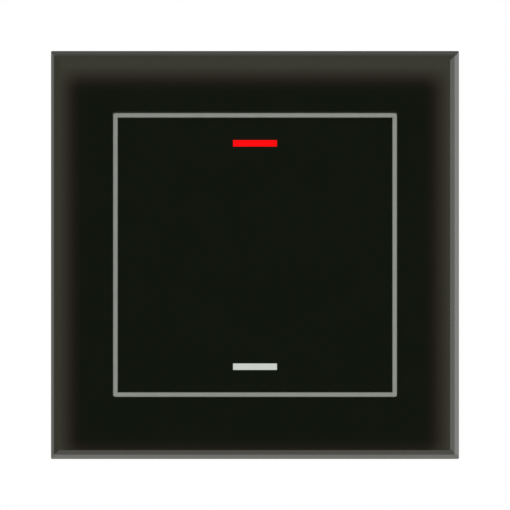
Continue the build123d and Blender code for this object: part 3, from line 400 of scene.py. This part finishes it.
def circuit_board(name):
    """Solder mask over copper tracks, bare laminate on the cut edges."""
    mat, tree, shader = new_material(name)
    tracks = tree.nodes.new("ShaderNodeTexBrick")
    settle(tracks, {
        "Scale": 240.0,
        "Mortar Size": 0.045,
        "Mortar Smooth": 0.1,
        "Color1": (0.0, 0.0, 0.0, 1.0),
        "Color2": (0.25, 0.25, 0.25, 1.0),
        "Mortar": (1.0, 1.0, 1.0, 1.0),
    })
    coord = tree.nodes.new("ShaderNodeTexCoord")
    turn = tree.nodes.new("ShaderNodeMapping")
    settle(turn, {"Rotation": (math.pi / 2, 0.0, 0.0)})
    link(tree, coord.outputs["Object"], turn.inputs["Vector"])
    link(tree, turn.outputs["Vector"], tracks.inputs["Vector"])
    relief = tracks.outputs["Color"]
    mask = ramp(tree, relief, (0.006, 0.075, 0.030), (0.020, 0.165, 0.070), 0.0, 1.0)
    edge = step(tree, facing(tree), 0.6, 0.4)
    link(tree, mix(tree, edge, mask, (0.42, 0.36, 0.16)), shader.inputs["Base Color"])
    settle(shader, {"Roughness": 0.3})
    bump(tree, shader, relief, depth_mm=0.03, strength=0.4)
    return mat


# Distance between the bands of a wave texture of scale 1
WAVE_PERIOD = 2 * math.pi / 20


def winding(name, colour, rough, axis, pitch_mm):
    """Close turns of wire around one axis, with painted shade in the grooves between them."""
    mat, tree, shader = new_material(name)
    wave = tree.nodes.new("ShaderNodeTexWave")
    wave.bands_direction = axis
    settle(wave, {"Scale": WAVE_PERIOD / (pitch_mm * MM), "Distortion": 0.3})
    link(tree, coordinates(tree), wave.inputs["Vector"])
    turns = wave.outputs["Fac"]
    # Painted shade: darker where the bump dips between the turns
    link(tree, ramp(tree, turns, lift(colour, 0.55), colour, 0.0, 0.8), shader.inputs["Base Color"])
    settle(shader, {"Metallic": 0.7, "Roughness": rough})
    bump(tree, shader, turns, depth_mm=0.05, strength=0.6)
    return mat


# The look of each material slot, and of the two nodes that have one of their own
looks = {
    "tape": plastic("foam_tape", (0.022, 0.022, 0.024), 0.9, grain_mm=0.25, depth_mm=0.05),
    "black_ink": ink("black_ink"),
    "trim": satin_trim("satin_trim"),
    "red_lens": lamp_lens("red_lens", (0.6, 0.01, 0.012), RED_LIGHT),
    "white_lens": lamp_lens("white_lens", (0.6, 0.62, 0.6), WHITE_LIGHT),
    "black_plastic": plastic("black_abs", (0.018, 0.018, 0.019), 0.5, grain_mm=0.3, round_mm=0.15),
    "grey_plastic": plastic(
        "grey_polycarbonate", (0.56, 0.57, 0.56), 0.5, grain_mm=0.3, round_mm=0.12, spread=0.03
    ),
    "zinc_steel": metal(
        "zinc_plate", (0.62, 0.63, 0.62), 0.42, scratch_mm=0.25, stretch=(1.0, 1.0, 0.15),
        round_mm=0.08, spread=0.04,
    ),
    "spring_steel": metal("nickel_plate", (0.68, 0.66, 0.61), 0.2, scratch_mm=0.3),
    "brass": metal(
        "brass", (0.72, 0.52, 0.22), 0.32, scratch_mm=0.2, stretch=(0.2, 1.0, 1.0),
        round_mm=0.08, spread=0.05,
    ),
    "circuit_board": circuit_board("circuit_board"),
    "clear_guide": clear_acrylic("clear_acrylic"),
    "led_lens": plastic("led_lens", (0.75, 0.68, 0.35), 0.25, grain_mm=0.5, depth_mm=0.004),
    "black_moulding": plastic("black_moulding", (0.02, 0.02, 0.021), 0.45, grain_mm=0.2, depth_mm=0.008),
    "passive_ceramic": plastic("chip_ceramic", (0.30, 0.21, 0.13), 0.5, grain_mm=0.2, depth_mm=0.006),
    "soft_iron": metal("soft_iron", (0.56, 0.56, 0.57), 0.3, scratch_mm=0.3, stretch=(1.0, 0.2, 1.0)),
    "ferrite": plastic("ferrite", (0.05, 0.05, 0.055), 0.6, grain_mm=0.2, depth_mm=0.01),
    "winding_tape": plastic("winding_tape", (0.72, 0.50, 0.04), 0.3, grain_mm=0.8, depth_mm=0.01),
    "copper_winding": winding("copper_winding", (0.62, 0.24, 0.11), 0.35, axis="Y", pitch_mm=0.395),
    "capacitor_sleeve": plastic("capacitor_sleeve", (0.02, 0.03, 0.07), 0.35, grain_mm=0.6, depth_mm=0.006),
    "film_box": plastic("film_box", (0.70, 0.45, 0.06), 0.35, grain_mm=0.5, depth_mm=0.006),
    "varistor_coat": plastic("varistor_coat", (0.03, 0.10, 0.36), 0.35, grain_mm=0.7, depth_mm=0.02),
    "fuse_case": plastic("fuse_case", (0.22, 0.06, 0.03), 0.4, grain_mm=0.4, depth_mm=0.008),
    "relay_case": plastic("relay_case", (0.015, 0.05, 0.26), 0.35, grain_mm=0.5, depth_mm=0.006),
    "terminal_plastic": plastic(
        "terminal_plastic", (0.20, 0.215, 0.21), 0.5, grain_mm=0.25, depth_mm=0.01, round_mm=0.08
    ),
}
own_looks = {"glass_frame": frame_glass(), "touch_pane": pane_glass()}

for part in frame["record"]["subparts"]:
    materials = nodes[part["node"]].data.materials
    materials.clear()
    materials.append(own_looks.get(part["node"]) or looks[part["material_slot"]])


# Building blocks of the meshes

def skin(mesh, rings):
    """Closed tube through rings of vertices, flat at both ends."""
    count = len(rings[0])
    for a, b in zip(rings, rings[1:]):
        for k in range(count):
            mesh.faces.new((a[k], b[k], b[(k + 1) % count], a[(k + 1) % count]))
    mesh.faces.new(rings[0])
    mesh.faces.new(list(reversed(rings[-1])))


def make_object(name, mesh):
    """Object in the scene from a bmesh, with its faces turned outward."""
    bmesh.ops.recalc_face_normals(mesh, faces=mesh.faces)
    data = bpy.data.meshes.new(name)
    mesh.to_mesh(data)
    mesh.free()
    obj = bpy.data.objects.new(name, data)
    bpy.context.scene.collection.objects.link(obj)
    return obj


def dress(piece, slot, body, node, sharp_degrees):
    """Finish, smooth faces with sharp edges, the body that a piece rides and the node it stands for."""
    piece.data.materials.clear()
    piece.data.materials.append(looks[slot])
    for polygon in piece.data.polygons:
        polygon.use_smooth = True
    piece.data.set_sharp_from_angle(angle=math.radians(sharp_degrees))
    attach(piece, body)
    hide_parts(node)


# Screws with cut threads, in place of the plain shanks. Each lies along Y with its head at the back.

THREAD_SIDES = 32
RINGS_PER_PITCH = 8
# Flanks of the thread: how steeply they rise, and how much of the rise the flat root takes
FLANK_RISE = 1.6
FLANK_ROOT = 0.3
# The thread fades in and out over these parts of a pitch, down to this part of the core
TIP_FADE = 0.6
SHOULDER_FADE = 0.3
FADED_CORE = 0.92
HEAD_SIDES = 48
HEAD_ROUND = 0.22 * MM
HEAD_ROUND_STEPS = 4
HEAD_EDGE = 0.08 * MM
SLOT_DEPTH_SHARE = 0.5
NEAR_TIP = 2.5 * MM
WIDER_THAN_SHANK = 1.05


def ring(mesh, middle, y, radii):
    """Ring of vertices around the Y axis through a middle, each at its own radius."""
    vertices = []
    for k, radius in enumerate(radii):
        angle = 2 * math.pi * k / len(radii)
        x = middle.x + radius * math.cos(angle)
        z = middle.z + radius * math.sin(angle)
        vertices.append(mesh.verts.new((x, y, z)))
    return vertices


def thread_radius(along, turn, length, core, crest):
    """Radius of the thread at a place along it and a part of a turn, both counted in pitches."""
    phase = (along - turn) % 1.0
    ridge = 1.0 - abs(phase - 0.5) * 2.0
    radius = core + (crest - core) * min(1.0, max(0.0, FLANK_RISE * ridge - FLANK_ROOT))
    fade = max(0.0, min(1.0, along / TIP_FADE, (length - along) / SHOULDER_FADE))
    faded = core * FADED_CORE
    return faded + (radius - faded) * fade


def screw_thread(node, middle, tip, shoulder, core, crest, pitch):
    """Shank whose ridge climbs one pitch in each turn."""
    mesh = bmesh.new()
    rows = int((shoulder - tip) / pitch * RINGS_PER_PITCH)
    rings = []
    for row in range(rows + 1):
        y = tip + (shoulder - tip) * row / rows
        rings.append(ring(mesh, middle, y, [
            thread_radius((y - tip) / pitch, k / THREAD_SIDES, (shoulder - tip) / pitch, core, crest)
            for k in range(THREAD_SIDES)
        ]))
    skin(mesh, rings)
    return make_object(node + "_thread", mesh)


def screw_head(node, middle, shoulder, back, radius, slot):
    """Turned disc with a rounded rim, cut by the screwdriver slot."""
    profile = [(radius - HEAD_EDGE, shoulder), (radius, shoulder + HEAD_EDGE)]
    for k in range(HEAD_ROUND_STEPS + 1):
        angle = math.pi / 2 * k / HEAD_ROUND_STEPS
        profile.append((
            radius - HEAD_ROUND + HEAD_ROUND * math.cos(angle),
            back - HEAD_ROUND + HEAD_ROUND * math.sin(angle),
        ))
    mesh = bmesh.new()
    skin(mesh, [ring(mesh, middle, y, [r] * HEAD_SIDES) for r, y in profile])
    head = make_object(node + "_head", mesh)

    # The cutter runs past the head on both sides and behind it
    mesh = bmesh.new()
    bmesh.ops.create_cube(mesh, size=1.0)
    size = Vector((3 * radius, 2 * SLOT_DEPTH_SHARE * (back - shoulder), slot))
    for vertex in mesh.verts:
        vertex.co = Vector((middle.x, back, middle.z)) + vertex.co * size
    cutter = make_object(node + "_cutter", mesh)
    cut = head.modifiers.new("slot", "BOOLEAN")
    cut.operation = "DIFFERENCE"
    cut.solver = "EXACT"
    cut.object = cutter
    baked = bpy.data.meshes.new_from_object(head.evaluated_get(bpy.context.evaluated_depsgraph_get()))
    head.modifiers.clear()
    head.data = baked
    bpy.data.objects.remove(cutter)
    return head


def threaded_screw(node, core_ratio, pitch_mm, slot_mm):
    """Cheese-head screw within its node's box. It rides the body of the node's own name."""
    low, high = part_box(node)
    middle = (low + high) / 2
    widths = [
        (math.hypot(v.co.x - middle.x, v.co.z - middle.z), v.co.y)
        for v in nodes[node].data.vertices
    ]
    crest = max(width for width, y in widths if y < low.y + NEAR_TIP)
    shoulder = min(y for width, y in widths if width > crest * WIDER_THAN_SHANK)
    head_radius = (high.x - low.x) / 2
    thread = screw_thread(node, middle, low.y, shoulder, crest * core_ratio, crest, pitch_mm * MM)
    head = screw_head(node, middle, shoulder, high.y, head_radius, slot_mm * MM)
    for piece in (thread, head):
        dress(piece, "zinc_steel", node, node, sharp_degrees=38)


bpy.context.view_layer.update()
threaded_screw("earth_screw", core_ratio=0.80, pitch_mm=0.6, slot_mm=0.9)
for number in range(1, 5):
    threaded_screw(f"terminal_screw_{number}", core_ratio=0.82, pitch_mm=0.5, slot_mm=0.7)


# Sensing springs in round wire, in place of the wire with flats

SPRING_WIRE_RADIUS = 0.35 * MM
SPRING_TURNS = 3
RINGS_PER_TURN = 40
WIRE_SIDES = 14


def sensing_spring(name, side):
    """Open coil of round wire along the same helix as its solid: foot on the board, top at the ink."""
    low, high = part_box("touch_springs")
    half_width = (high.x - low.x) / 2
    middle_z = side * (high.z - half_width)
    coil = half_width - SPRING_WIRE_RADIUS
    foot = high.y - SPRING_WIRE_RADIUS
    climb = (low.y + SPRING_WIRE_RADIUS - foot) / SPRING_TURNS
    mesh = bmesh.new()
    rings = []
    for row in range(RINGS_PER_TURN * SPRING_TURNS + 1):
        angle = 2 * math.pi * row / RINGS_PER_TURN
        outward = Vector((math.cos(angle), 0.0, math.sin(angle)))
        along = Vector((-coil * math.sin(angle), climb / (2 * math.pi), coil * math.cos(angle))).normalized()
        upward = along.cross(outward)
        centre = coil * outward + Vector((0.0, foot + climb * row / RINGS_PER_TURN, middle_z))
        section = []
        for k in range(WIRE_SIDES):
            turn = 2 * math.pi * k / WIRE_SIDES
            offset = math.cos(turn) * outward + math.sin(turn) * upward
            section.append(mesh.verts.new(centre + SPRING_WIRE_RADIUS * offset))
        rings.append(section)
    skin(mesh, rings)
    dress(make_object(name, mesh), "spring_steel", "base", "touch_springs", sharp_degrees=50)


sensing_spring("upper_sensing_spring", 1)
sensing_spring("lower_sensing_spring", -1)


# Studio: a white floor, a white room, soft lamps and a black flag that only reflections see

VIEW_WIDTH = 107.5 * MM
CAMERA_DISTANCE = 1.2
SENSOR_WIDTH = 36.0
FLOOR_Z = -0.075
FLOOR_RADIUS = 0.44
FLOOR_SIDES = 96
PAPER_TONES = ((0.90, 0.90, 0.90), (0.92, 0.92, 0.92))
# The floor's own light for the camera, from the middle of the floor outward, and where it rises
FLOOR_LEVELS = (0.16, 0.34)
FLOOR_RISE = (0.10, 0.38)
# Brightness of the room as a lamp, and as reflections see it. The camera sees 1, white.
ROOM_LIGHT = 0.6
REFLECTED_WHITE = 0.76
FLAG_Y = -1.35
FLAG_X = (-2.3, 0.52)
FLAG_Z = (-0.3, 2.3)
# Square soft lamps: name, place, target, width, and brightness where 1 is white
LAMPS = (
    ("right_strip", (0.9, -0.06, 0.0), (0.0, -0.01, 0.0), 0.5, 2.7),
    ("left_strip", (-0.9, -0.06, 0.0), (0.0, -0.01, 0.0), 0.5, 1.9),
    ("right_front", (0.75, -1.05, 0.0), (0.0, 0.0, 0.0), 0.5, 1.27),
    ("key", (0.2, -0.7, 1.35), (0.0, 0.0, 0.0), 0.5, 7.0),
    ("back_fill", (-0.7, 1.2, 0.9), (0.0, 0.0, 0.0), 0.6, 3.0),
)


def stage(name, corners, mat):
    """One flat face of the studio."""
    mesh = bpy.data.meshes.new(name)
    mesh.from_pydata(corners, [], [tuple(range(len(corners)))])
    mesh.materials.append(mat)
    obj = bpy.data.objects.new(name, mesh)
    bpy.context.scene.collection.objects.link(obj)
    return obj


def white_paper():
    """White paper that keeps the shadow, and is seen through from below."""
    mat, tree, shader = new_material("floor")
    path = tree.nodes.new("ShaderNodeLightPath")
    paper = ramp(tree, noise(tree, size_mm=60.0), *PAPER_TONES)
    tone = mix(tree, path.outputs["Is Glossy Ray"], paper, (REFLECTED_WHITE,) * 3)
    link(tree, tone, shader.inputs["Base Color"])
    settle(shader, {"Roughness": 0.9, "Specular IOR Level": 0.0, "Emission Color": (1.0, 1.0, 1.0, 1.0)})
    distance = tree.nodes.new("ShaderNodeVectorMath")
    distance.operation = "LENGTH"
    link(tree, coordinates(tree), distance.inputs[0])
    level = ramp(tree, distance.outputs["Value"], *FLOOR_LEVELS, *FLOOR_RISE)
    seen = maths(tree, "MULTIPLY", path.outputs["Is Camera Ray"], level)
    link(tree, seen, shader.inputs["Emission Strength"])
    out = [n for n in tree.nodes if n.type == "OUTPUT_MATERIAL"][0]
    clear = tree.nodes.new("ShaderNodeBsdfTransparent")
    either = tree.nodes.new("ShaderNodeMixShader")
    geometry = tree.nodes.new("ShaderNodeNewGeometry")
    link(tree, geometry.outputs["Backfacing"], either.inputs[0])
    link(tree, shader.outputs[0], either.inputs[1])
    link(tree, clear.outputs[0], either.inputs[2])
    link(tree, either.outputs[0], out.inputs[0])
    return mat


def white_floor():
    """Round sheet of paper below the object."""
    angles = [2 * math.pi * k / FLOOR_SIDES for k in range(FLOOR_SIDES)]
    corners = [(FLOOR_RADIUS * math.cos(a), FLOOR_RADIUS * math.sin(a), FLOOR_Z) for a in angles]
    stage("floor", corners, white_paper())


def black_flag():
    """Black sheet behind the camera. It keeps the glass black in the photograph's view."""
    mat, tree, shader = new_material("flag")
    settle(shader, {"Base Color": (0.0, 0.0, 0.0, 1.0), "Specular IOR Level": 0.0})
    left, right = FLAG_X
    bottom, top = FLAG_Z
    corners = [(left, bottom), (right, bottom), (right, top), (left, top)]
    flag = stage("flag", [(x, FLAG_Y, z) for x, z in corners], mat)
    flag.visible_camera = False
    flag.visible_diffuse = False
    flag.visible_transmission = False
    flag.visible_shadow = False


def white_room():
    """World that is white to the camera and through glass, and a little darker in reflections."""
    world = bpy.data.worlds.new("room")
    bpy.context.scene.world = world
    world.use_nodes = True
    tree = world.node_tree
    tree.nodes.clear()
    out = tree.nodes.new("ShaderNodeOutputWorld")
    background = tree.nodes.new("ShaderNodeBackground")
    path = tree.nodes.new("ShaderNodeLightPath")
    seen = maths(tree, "MAXIMUM", path.outputs["Is Camera Ray"], path.outputs["Is Transmission Ray"])
    share = (REFLECTED_WHITE - ROOM_LIGHT) / (1.0 - ROOM_LIGHT)
    reflected = maths(tree, "MULTIPLY", path.outputs["Is Glossy Ray"], share)
    level = ramp(tree, maths(tree, "MAXIMUM", seen, reflected), ROOM_LIGHT, 1.0, 0.0, 1.0)
    link(tree, level, background.inputs["Strength"])
    settle(background, {"Color": (1.0, 1.0, 1.0, 1.0)})
    link(tree, background.outputs[0], out.inputs[0])


def softbox(name, position, target, width, radiance):
    """Square area lamp of an even brightness. The camera doesn't see it."""
    data = bpy.data.lights.new(name, "AREA")
    data.shape = "SQUARE"
    data.size = width
    data.energy = radiance * math.pi * width ** 2
    obj = bpy.data.objects.new(name, data)
    obj.location = position
    obj.rotation_euler = (Vector(target) - Vector(position)).to_track_quat("-Z", "Y").to_euler()
    obj.visible_camera = False
    bpy.context.scene.collection.objects.link(obj)
    return obj


def photo_camera():
    """Camera straight in front of the plate, so that the picture is VIEW_WIDTH wide at its facets."""
    data = bpy.data.cameras.new("camera")
    data.sensor_width = SENSOR_WIDTH
    data.lens = SENSOR_WIDTH * (CAMERA_DISTANCE + FACET_DEPTH) / VIEW_WIDTH
    data.clip_start = 0.01
    data.clip_end = 20.0
    camera = bpy.data.objects.new("camera", data)
    camera.location = (0.0, PLATE_FRONT - CAMERA_DISTANCE, 0.0)
    camera.rotation_euler = (math.pi / 2, 0.0, 0.0)
    bpy.context.scene.collection.objects.link(camera)
    bpy.context.scene.camera = camera


white_floor()
black_flag()
white_room()
lamps = {lamp[0]: softbox(*lamp) for lamp in LAMPS}
# The left outer facet, which is dark in the photograph, would mirror this lamp
lamps["left_strip"].visible_glossy = False
photo_camera()
bpy.context.scene.view_settings.view_transform = "Standard"

bpy.context.view_layer.update()
